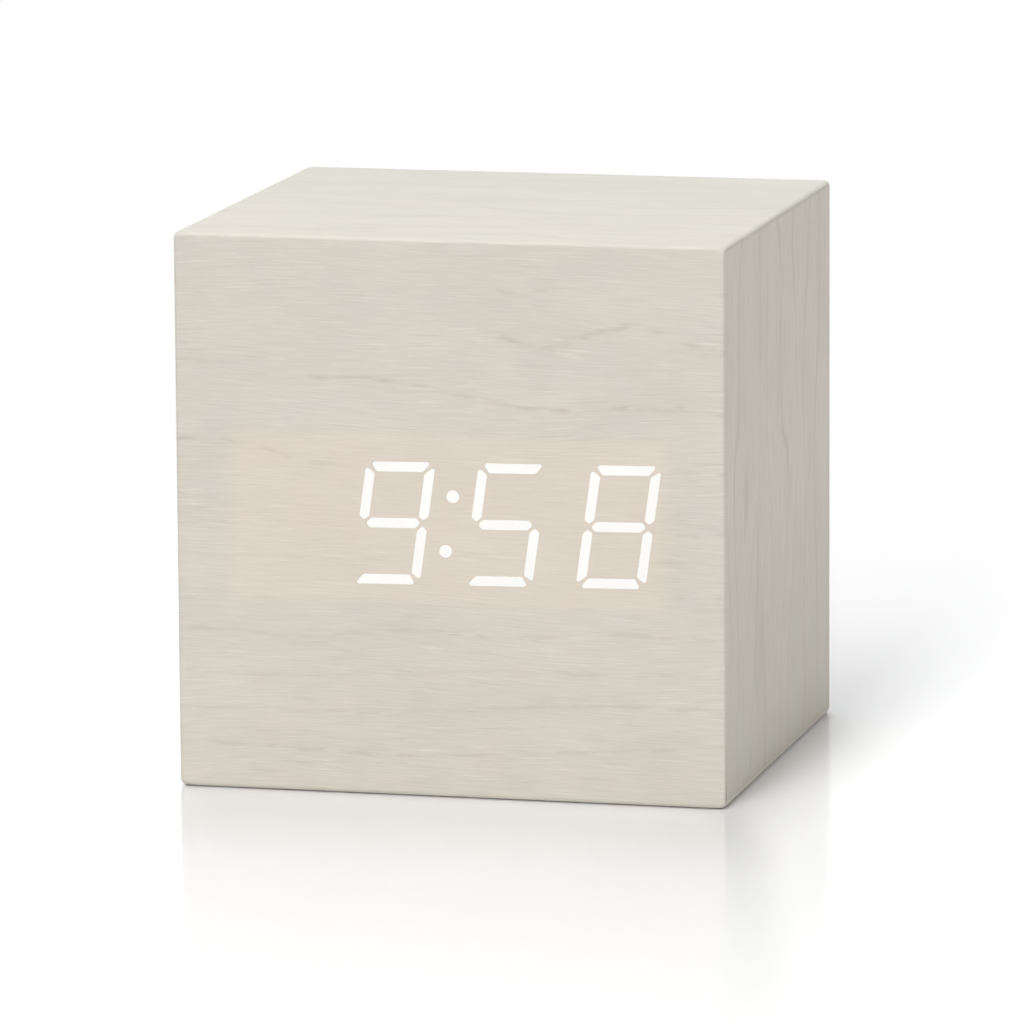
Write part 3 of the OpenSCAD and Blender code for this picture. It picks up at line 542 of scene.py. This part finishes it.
def side_sheet(out, gape_to, grain_start):
    """A flat grid in y and z at the side's face. Its front edge draws back evenly below the gape's height."""
    x = case_low[0] if out < 0 else case_high[0]
    low = case_low + EDGE_R + LIP + SEAM
    high = case_high - EDGE_R - LIP - SEAM
    z = np.linspace(low[2], high[2], FLAT_STEPS + 1)[:, None]
    gape = gape_to * np.clip(1 - (z - low[2]) / GAPE_HEIGHT, 0, 1)
    y = low[1] + gape + (high[1] - low[1] - gape) * np.linspace(0, 1, FLAT_STEPS + 1)
    skin = grid(x, y, z).reshape(-1, 3)
    grain = grid(z / MM, y / MM + grain_start, 0.0).reshape(-1, 3)
    index = np.arange(len(skin)).reshape(FLAT_STEPS + 1, FLAT_STEPS + 1)
    faces = quads(index if out < 0 else index[:, ::-1])
    return thick(skin, faces, np.tile([float(out), 0.0, 0.0], (len(skin), 1)), grain)


side_veneer, tree, shader, grain, wood, colour = start_veneer("side_veneer")
colour = mix(tree, sum_of(tree, "MULTIPLY", wood["Ring"], SIDE_RING_SHARE), colour, SIDE_RING)
colour = mix(tree, sum_of(tree, "MULTIPLY", wood["Dark"], SIDE_DARK_SHARE), colour, SIDE_DARK)
# Painted shade, darker towards the base
low_shade = ramp(tree, axis(tree, "Z"), LOW_SHADE_FROM, LOW_SHADE_FULL, 0.0, SIDE_LOW_SHADE_SHARE)
feed(tree, shader, {"Base Color": mix(tree, low_shade, colour, SIDE_LOW_SHADE)})
for name, out, gape_to, grain_start in (("left_veneer", -1, 0.0, 400.0), ("right_veneer", 1, GAPE, 800.0)):
    sheet = link_piece(name.replace("veneer", "sheet"), *side_sheet(out, gape_to, grain_start))
    sheet.data.materials.append(side_veneer)
    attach(sheet, "clock_case")
    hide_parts(name)

# Display
# A white reflector with a resin-filled well for each bar, over a board of lamp chips, fixed
# behind the front panel's window with spacers and screws.
PEBBLE_PITCH = 0.35 * MM
PEBBLE_DEPTH = 0.012 * MM
PLATING_PITCH = 0.2 * MM
CLOUDS_PER_M = 140
TRACK_PITCH = 0.9 * MM
TRACK_EDGE = 0.62 * MM
TRACK_SOFT = 0.04 * MM
TRACK_GREEN = linear(52, 128, 82)
skin_inputs = [("Place", "Vector"), ("Pitch", "Float")]
skin_group, came_in, goes_out = start_group("moulded_grain", skin_inputs, ["Pebble", "Cloud"])
pebbles = add(skin_group, "VectorMath", {"operation": "SCALE"}, {0: came_in["Place"]})
skin_group.links.new(sum_of(skin_group, "DIVIDE", 1.0, came_in["Pitch"]), pebbles.inputs["Scale"])
pebble = noise(skin_group, pebbles.outputs[0], 1.0)
cloud = noise(skin_group, stretch(skin_group, came_in["Place"], (CLOUDS_PER_M,) * 3, 3))
skin_group.links.new(ramp(skin_group, pebble, 0.3, 0.7), goes_out["Pebble"])
skin_group.links.new(ramp(skin_group, cloud, 0.3, 0.7), goes_out["Cloud"])


def start_moulded(name, dark, pale, roughness, pitch=PEBBLE_PITCH, depth=PEBBLE_DEPTH):
    """Moulded plastic: a pebbled skin with clouds between two near colours.

    Returns the material, its tree, its shader and the colour that varies over it.
    """
    made, tree, shader = start_material(name, {"Roughness": roughness})
    skin = add(tree, "Group", {"node_tree": skin_group}, {"Place": place(tree), "Pitch": pitch}).outputs
    colour = mix(tree, skin["Cloud"], linear(*dark), linear(*pale))
    shine = ramp(tree, skin["Pebble"], 0.0, 1.0, roughness - 0.05, roughness + 0.05)
    normal = bump(tree, skin["Pebble"], depth)
    feed(tree, shader, {"Base Color": colour, "Roughness": shine, "Normal": normal})
    return made, tree, shader, colour


def moulded(*look):
    """Moulded plastic with nothing more on it."""
    return start_moulded(*look)[0]


def metal(name, dark, pale, roughness):
    """Plated metal: clouds between two near colours and a roughness that varies over it."""
    made, tree, shader = start_material(name, {"Metallic": 1.0})
    inputs = {"Place": place(tree), "Pitch": PLATING_PITCH}
    skin = add(tree, "Group", {"node_tree": skin_group}, inputs).outputs
    colour = mix(tree, skin["Cloud"], linear(*dark), linear(*pale))
    shine = ramp(tree, skin["Pebble"], 0.0, 1.0, roughness - 0.06, roughness + 0.06)
    feed(tree, shader, {"Base Color": colour, "Roughness": shine})
    return made


paint(moulded("white_plastic", (226, 226, 221), (234, 234, 230), 0.55), "reflector", "display_spacers")
paint(moulded("milky_resin", (222, 221, 214), (228, 227, 221), 0.4), "unlit_segments")
lit_resin, tree, shader, colour = start_moulded("lit_resin", (250, 250, 245), (255, 255, 251), 0.4)
shader.inputs["Emission Strength"].default_value = 1.0
feed(tree, shader, {"Emission Color": colour})
paint(lit_resin, "lit_segments")
paint(moulded("lamp_chip", (228, 214, 140), (238, 226, 160), 0.3), "led_chips")
screw_steel = metal("screw_steel", (190, 190, 192), (205, 205, 206), 0.3)
paint(screw_steel, "display_screws", "plate_screws", "board_screws", "bay_screws")
paint(moulded("socket_plastic", (222, 214, 196), (230, 223, 206), 0.45), "display_socket", "main_socket")
paint(moulded("chip_body", (44, 44, 46), (52, 52, 54), 0.5), "display_driver", "controller_chip")

circuit_board, tree, shader, colour = start_moulded("circuit_board", (28, 92, 56), (34, 104, 64), 0.35)
slope = sum_of(tree, "PINGPONG", sum_of(tree, "ADD", axis(tree, "X"), axis(tree, "Z")), TRACK_PITCH)
track = ramp(tree, slope, TRACK_EDGE, TRACK_EDGE + TRACK_SOFT)
feed(tree, shader, {"Base Color": mix(tree, track, colour, TRACK_GREEN)})
paint(circuit_board, "display_board", "main_board")

# Lit digits
# The lamps shine through the thin veneer, and the sheet itself glows where a lit bar or dot
# lies behind it. Each glow is a thin plate with its edges let into the sheet's face. In millimetres.
DIGIT_H = 13.77
DIGIT_W = 7.4
BAR_T = 1.2
CORNER_GAP = 0.15
WAIST_GAP = 0.36
TIP_RISE = 0.33
EDGE_BEVELS = {"outer": 0.18, "inner": 0.68, "waist": 0.5}
CORNER_ROUND = 0.22
CORNER_SHARE = 0.4
CORNER_STEPS = 5
LEAN = math.tan(math.radians(9.0))
DOT_D = 1.55
DOT_SPACING = 6.68
DOT_STEPS = 48
GLOW_SUNK = 0.05
ROW_TURN = math.radians(0.97)
ROW_DROP = 0.48
ROW_SHIFT = 0.12
PLACES_END = 11.93
# The bars that are lit in each place. Of the four places, numbered from 0, the first is dark.
lit = {1: "abcdfg", 2: "acdfg", 3: "abcdefg"}
place_pitch = (window_half[0] / MM * 2 - PLACES_END) / 3


def bar_outline(length, waists):
    """Six corners of a bar that lies level with its outer side up: long sides, and a tip at each
    end set back by the gap there. A corner's tip sits above the middle, a waist's in the middle."""
    corners = []
    for sign, waist in ((1, waists[1]), (-1, waists[0])):
        tip = length / 2 - (WAIST_GAP if waist else CORNER_GAP)
        outer = tip - EDGE_BEVELS["waist" if waist else "outer"]
        inner = tip - EDGE_BEVELS["waist" if waist else "inner"]
        end = [(outer, BAR_T / 2), (tip, 0 if waist else TIP_RISE), (inner, -BAR_T / 2)]
        corners += [(sign * a, b) for a, b in end[::sign]]
    return np.array(corners)


def bar_place(bar):
    """A bar's corners in its digit: a, g and d lie level, and b, c, e and f stand at the sides."""
    if bar in "agd":
        row = "dga".index(bar) - 1
        flat = bar_outline(DIGIT_W, (row == 0, row == 0))
        rise = flat[:, 1] if row >= 0 else -flat[:, 1]
        return np.stack([flat[:, 0], row * DIGIT_H / 2 + rise], -1)
    side = 1 if bar in "bc" else -1
    row = 1 if bar in "bf" else -1
    flat = bar_outline(DIGIT_H / 2, (True, False))
    return np.stack([side * (DIGIT_W / 2 + flat[:, 1]), row * (DIGIT_H / 4 + flat[:, 0])], -1)


def softened(corners):
    """Each corner becomes a curve between points a short way along its two sides:
    (1 - t)^2 * before + 2 t (1 - t) * corner + t^2 * after."""
    back = np.roll(corners, 1, axis=0) - corners
    ahead = np.roll(corners, -1, axis=0) - corners
    back_l = np.linalg.norm(back, axis=1, keepdims=True)
    ahead_l = np.linalg.norm(ahead, axis=1, keepdims=True)
    reach = np.minimum(CORNER_ROUND, CORNER_SHARE * np.minimum(back_l, ahead_l))
    before = corners + back * (reach / back_l)
    after = corners + ahead * (reach / ahead_l)
    t = np.linspace(0, 1, CORNER_STEPS)[None, :, None]
    curve = (1 - t) ** 2 * before[:, None] + 2 * t * (1 - t) * corners[:, None] + t**2 * after[:, None]
    return curve.reshape(-1, 2)


def anticlockwise(outline):
    """The outline in the order that gives a positive area: sum of x * next z - next x * z."""
    x, z = outline.T
    area = np.sum(x * np.roll(z, -1) - np.roll(x, -1) * z)
    return outline if area > 0 else outline[::-1]


def glow_plate(outline):
    """Rings round the outline: its middle and its full size on the face, then the same two behind.
    The rings lean over by their height times the lean."""
    outline = anticlockwise(outline)
    middle = outline.mean(0)
    share = np.array([0.0, 1.0, 1.0, 0.0])[:, None, None]
    depth = np.array([0.0, 0.0, GLOW_SUNK, GLOW_SUNK])[:, None]
    flat = middle + share * (outline - middle)
    return grid(flat[..., 0] + flat[..., 1] * LEAN, depth, flat[..., 1])


plates = []
for digit, bars in lit.items():
    place_x = (digit - 1.5) * place_pitch
    plates += [glow_plate(softened(bar_place(bar))) + [place_x, 0, 0] for bar in bars]
round_way = np.linspace(0, 2 * math.pi, DOT_STEPS, endpoint=False)
upright_dot = np.stack([np.cos(round_way) - np.sin(round_way) * LEAN, np.sin(round_way)], -1)
for sign in (-1, 1):
    rise = sign * DOT_SPACING / 2
    plates.append(glow_plate(DOT_D / 2 * upright_dot) + [rise * LEAN, 0, rise])

row_x = window_middle[0] + ROW_SHIFT * MM
row_z = window_middle[2] - ROW_DROP * MM
row_middle = np.array([row_x, case_low[1], row_z])
askew = np.array(Matrix.Rotation(-ROW_TURN, 3, "Y"))
glow_points, glow_faces, used = [], [], 0
for plate in plates:
    index = used + np.arange(plate.size // 3).reshape(plate.shape[:2])
    glow_points.append(row_middle + plate.reshape(-1, 3) @ askew.T * MM)
    glow_faces.append(quads(np.hstack([index, index[:, :1]])))
    used += index.size
digits = link_piece("lit_digits", *merged(np.vstack(glow_points), np.vstack(glow_faces)))
veneer_glow, tree, shader, colour = start_moulded("veneer_glow", (212, 206, 194), (217, 211, 199), 0.6)
shader.inputs["Emission Strength"].default_value = 0.93
shader.inputs["Emission Color"].default_value = linear(157, 164, 173)
digits.data.materials.append(veneer_glow)
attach(digits, "clock_case")

# Control plate
# A black moulding with a fine pebbled face, set in the rear sheet's opening from inside. It
# carries the power socket, a sound hole, three keys with pale marks, and the buzzer's slots.
PLATE_PITCH = 0.3 * MM
PLATE_DEPTH = 0.03 * MM
MARK_FROM = 0.05 * MM
MARK_FULL = 0.03 * MM
MARK_PALE = linear(206, 206, 202)
black_plastic = moulded("black_plastic", (34, 34, 36), (42, 42, 44), 0.48, PLATE_PITCH, PLATE_DEPTH)
paint(black_plastic, "control_plate", "battery_bay", "battery_door")
key_plastic, tree, shader, colour = start_moulded("key_plastic", (46, 46, 48), (52, 52, 54), 0.35)
key_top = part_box("set_button")[1].y
mark = ramp(tree, axis(tree, "Y"), key_top - MARK_FROM, key_top - MARK_FULL)
feed(tree, shader, {"Base Color": mix(tree, mark, colour, MARK_PALE)})
paint(key_plastic, "set_button", "up_button", "down_button")
plunger_plastic = moulded("plunger_plastic", (36, 36, 36), (42, 42, 42), 0.5)
paint(plunger_plastic, "set_plunger", "up_plunger", "down_plunger")
paint(metal("switch_steel", (188, 188, 190), (202, 202, 204), 0.35), "switch_bodies")
nickel = metal("nickel", (206, 204, 198), (218, 216, 211), 0.25)
paint(nickel, "usb_shell", "contact_plates", "contact_springs", "backup_cell", "backup_cell_clip")
paint(moulded("insert_plastic", (24, 24, 24), (32, 32, 32), 0.5), "usb_insert", "buzzer")
paint(metal("can_metal", (200, 200, 202), (214, 214, 216), 0.3), "microphone", "clock_crystal")
paint(moulded("capacitor_sleeve", (36, 44, 96), (44, 54, 110), 0.35), "filter_capacitor")

# Ribbon cable and battery leads
# A grey ribbon of ten cores joins the two boards, and a red and a black lead come up from the
# battery contacts. They are soft vinyl over stranded wire.
CORE_HALF = 0.6 * MM
CORE_GROOVE = 0.1 * MM
GROOVE_SHADE = linear(112, 112, 116)
grey_cable, tree, shader, colour = start_moulded("grey_cable", (150, 150, 154), (162, 162, 166), 0.45)
# Painted shade: the grooves between the cores are coloured a darker grey
groove_shade = ramp(tree, sum_of(tree, "PINGPONG", axis(tree, "X"), CORE_HALF), CORE_GROOVE, 0.0)
feed(tree, shader, {"Base Color": mix(tree, groove_shade, colour, GROOVE_SHADE)})
paint(grey_cable, "ribbon_cable")
paint(moulded("red_vinyl", (170, 26, 22), (186, 34, 28), 0.4), "red_lead")
paint(moulded("black_vinyl", (26, 26, 28), (34, 34, 36), 0.4), "black_lead")

# Batteries
# Three AAA cells lie side by side, each turned end for end to its neighbour. A printed sleeve
# covers the steel can, with a pale band at the plus end.
CELL_HALF = 5.5 * MM
BAND_L = 11 * MM
PLUS_BARE = 1.6 * MM
SLEEVE_L = 44 * MM
PRINT_EDGE = 0.1 * MM
BAND_GREY = linear(196, 198, 200)
CAN_STEEL = linear(204, 203, 200)
cell_sleeve, tree, shader, colour = start_moulded("cell_sleeve", (56, 66, 78), (64, 75, 88), 0.3)
cells_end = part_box("batteries")[1].x
middle_cell = ramp(tree, absolute(tree, axis(tree, "Y")), CELL_HALF + PRINT_EDGE, CELL_HALF)
toward_plus = sum_of(tree, "MULTIPLY", axis(tree, "X"), ramp(tree, middle_cell, 0.0, 1.0, 1.0, -1.0))
band = ramp(tree, toward_plus, cells_end - BAND_L, cells_end - BAND_L + PRINT_EDGE)
plus_can = ramp(tree, toward_plus, cells_end - PLUS_BARE, cells_end - PLUS_BARE + PRINT_EDGE)
minus_can = ramp(tree, toward_plus, cells_end - SLEEVE_L + PRINT_EDGE, cells_end - SLEEVE_L)
can = sum_of(tree, "MAXIMUM", plus_can, minus_can)
colour = mix(tree, band, colour, BAND_GREY)
feed(tree, shader, {"Base Color": mix(tree, can, colour, CAN_STEEL), "Metallic": can})
paint(cell_sleeve, "batteries")

# Table
# A glossy white table top, not a part of the clock. Its mirror dies away from the clock and is
# stronger in front of it. It is open under the base and clear from below, so the base can be seen.
TABLE_HALF = 4.0
TABLE_DROP = 0.12 * MM
TABLE_RIM = 1.5 * MM
NEAR_RAY = 0.25 * MM
FIRST_RAYS = 1.5
SIDE_SHEEN = 0.25
FRONT_SHEEN = 0.75
FRONT_REACH = 60 * MM
FADE_LENGTH = 66 * MM
SHEEN_SLANT = 0.249
SHEEN_EDGE = 33 * MM
SHEEN_END = 42 * MM
SHEEN_BEYOND = 0.35
WHITE_FROM = 60 * MM
WHITE_AT = 220 * MM
WHITE = (1.0, 1.0, 1.0, 1.0)
TABLE_WHITE = (0.8, 0.8, 0.8, 1.0)
MIRROR_TINT = (0.93, 0.965, 1.0, 1.0)
corners = [(x * TABLE_HALF, y * TABLE_HALF, -TABLE_DROP) for x, y in ((-1, -1), (1, -1), (1, 1), (-1, 1))]
floor_mesh = bpy.data.meshes.new("floor")
floor_mesh.from_pydata(corners, [], [(0, 1, 2, 3)])
floor = bpy.data.objects.new("floor", floor_mesh)
put(floor)
table_top, tree, shader = start_material("table_top", {})
tree.nodes.remove(shader)
x = axis(tree, "X")
y = axis(tree, "Y")
ray = add(tree, "LightPath", {}, {}).outputs
outside = []
past_rim = []
for value, half in ((x, case_high[0]), (y, case_high[1])):
    past = sum_of(tree, "SUBTRACT", absolute(tree, value), half)
    outside.append(sum_of(tree, "MAXIMUM", past, 0.0))
    past_rim.append(sum_of(tree, "GREATER_THAN", past, -TABLE_RIM))
away = add(tree, "CombineXYZ", {}, {"X": outside[0], "Y": outside[1]}).outputs[0]
away = add(tree, "VectorMath", {"operation": "LENGTH"}, {0: away}).outputs["Value"]

# The mirror's share: dying away by e to the power -away / fade length, and stronger ahead of the clock
fade = sum_of(tree, "EXPONENT", sum_of(tree, "DIVIDE", away, -FADE_LENGTH), 0.0)
slanted = sum_of(tree, "MULTIPLY", sum_of(tree, "SUBTRACT", y, case_low[1]), SHEEN_SLANT)
sideways = ramp(tree, sum_of(tree, "ADD", x, slanted), SHEEN_END, SHEEN_EDGE, SHEEN_BEYOND, 1.0)
in_front = sum_of(tree, "MULTIPLY", ramp(tree, y, 0.0, -FRONT_REACH), sideways)
sheen = sum_of(tree, "MULTIPLY", fade, ramp(tree, in_front, 0.0, 1.0, SIDE_SHEEN, FRONT_SHEEN))
sheen = sum_of(tree, "MULTIPLY", sheen, ray["Is Camera Ray"])
table_tint = mix(tree, ray["Is Camera Ray"], TABLE_WHITE, WHITE)
diffuse = add(tree, "BsdfDiffuse", {}, {"Color": table_tint}).outputs[0]
mirror = add(tree, "BsdfGlossy", {}, {"Color": MIRROR_TINT, "Roughness": 0.12}).outputs[0]
surface = add(tree, "MixShader", {}, {0: sheen, 1: diffuse, 2: mirror}).outputs[0]
far = sum_of(tree, "MULTIPLY", ramp(tree, away, WHITE_FROM, WHITE_AT), ray["Is Camera Ray"])
far_white = add(tree, "Emission", {}, {"Color": WHITE, "Strength": 1.0}).outputs[0]
surface = add(tree, "MixShader", {}, {0: far, 1: surface, 2: far_white}).outputs[0]

# Clear from below, under the clock within the rim, and for short first rays from the base's underside
below = add(tree, "NewGeometry", {}, {}).outputs["Backfacing"]
within = sum_of(tree, "SUBTRACT", 1.0, sum_of(tree, "MAXIMUM", *past_rim))
short = sum_of(tree, "LESS_THAN", ray["Ray Length"], NEAR_RAY)
short_first = sum_of(tree, "MULTIPLY", short, sum_of(tree, "LESS_THAN", ray["Ray Depth"], FIRST_RAYS))
open_here = sum_of(tree, "MAXIMUM", sum_of(tree, "MAXIMUM", below, within), short_first)
clear = add(tree, "BsdfTransparent", {}, {}).outputs[0]
shown = add(tree, "MixShader", {}, {0: open_here, 1: surface, 2: clear}).outputs[0]
tree.links.new(shown, tree.nodes["Material Output"].inputs["Surface"])
floor_mesh.materials.append(table_top)

# Room
# An even white room. It shows white to the camera and in reflections, and lights the clock
# weakly from above and more from below the level of the table.
ROOM_LIGHT = 0.24
LOW_LIGHT = 0.9
LOW_EDGE = -0.02
room = bpy.data.worlds.new("room")
room.use_nodes = True
bpy.context.scene.world = room
tree = room.node_tree
tree.nodes.remove(tree.nodes["Background"])
ray = add(tree, "LightPath", {}, {}).outputs
seen = sum_of(tree, "MAXIMUM", ray["Is Camera Ray"], ray["Is Glossy Ray"])
seen = sum_of(tree, "MAXIMUM", seen, ray["Is Transmission Ray"])
way = add(tree, "TexCoord", {}, {}).outputs["Generated"]
up = add(tree, "SeparateXYZ", {}, {"Vector": way}).outputs["Z"]
strength = ramp(tree, up, LOW_EDGE, 0.0, LOW_LIGHT, ROOM_LIGHT)
ambient = add(tree, "Background", {}, {"Color": WHITE, "Strength": strength}).outputs[0]
backdrop = add(tree, "Background", {}, {"Color": WHITE, "Strength": 1.0}).outputs[0]
both = add(tree, "MixShader", {}, {0: seen, 1: ambient, 2: backdrop}).outputs[0]
tree.links.new(both, tree.nodes["World Output"].inputs["Surface"])

# Lamps
# A long strip lamp hangs over the clock, a little in front of it, and two weak broad lamps
# fill in from the right and from behind.
STRIP_AWAY = 1.5
STRIP_W = 0.32
STRIP_L = 3.6
STRIP_POWER = 31.0
strip_way = Vector((-0.1, -0.42, 1.0)).normalized()
strip = bpy.data.lights.new("strip_lamp", "AREA")
strip.shape = "RECTANGLE"
strip.size = STRIP_W
strip.size_y = STRIP_L
strip.energy = STRIP_POWER
strip_lamp = bpy.data.objects.new("strip_lamp", strip)
strip_side = Vector((0.0, 1.0, 0.0)).cross(strip_way).normalized()
turned = Matrix((strip_side, strip_way.cross(strip_side), strip_way)).transposed().to_4x4()
strip_lamp.matrix_world = Matrix.Translation(strip_way * STRIP_AWAY) @ turned
put(strip_lamp)


def broad_lamp(name, power, spread, way):
    """A far lamp that shines from the way given, softened over a spread in degrees."""
    light = bpy.data.lights.new(name, "SUN")
    light.energy = power
    light.angle = math.radians(spread)
    made = bpy.data.objects.new(name, light)
    made.rotation_euler = Vector(way).to_track_quat("Z", "Y").to_euler()
    put(made)
    return made


broad_lamp("fill_lamp", 0.76, 60, (0.92, -0.2, 0.3))
back_fill = broad_lamp("back_fill", 0.8, 40, (-0.35, 0.93, 0.05))
back_fill.visible_glossy = False

# Camera
# It stands a metre off, a little to the right and above, with a long lens, and is tipped a
# touch to one side.
AZIMUTH = math.radians(13.972)
ELEVATION = math.radians(9.885)
ROLL = math.radians(-0.364)
AIM = Vector((0.374, -0.656, 29.826)) * MM
CAMERA_AWAY = 1.03758
level = Vector((math.cos(AZIMUTH), math.sin(AZIMUTH), 0.0))
ahead = Vector((-math.sin(AZIMUTH), math.cos(AZIMUTH), 0.0))
back = Vector((0.0, 0.0, math.sin(ELEVATION))) - ahead * math.cos(ELEVATION)
right = level * math.cos(ROLL) + back.cross(level) * math.sin(ROLL)
turned = Matrix((right, back.cross(right), back)).transposed().to_4x4()
lens = bpy.data.cameras.new("camera")
lens.lens = 294.51
lens.sensor_width = 36.0
lens.clip_start = 0.05
lens.clip_end = 50.0
camera = bpy.data.objects.new("camera", lens)
camera.matrix_world = Matrix.Translation(AIM + back * CAMERA_AWAY) @ turned
put(camera)
bpy.context.scene.camera = camera
bpy.context.scene.view_settings.view_transform = "Standard"
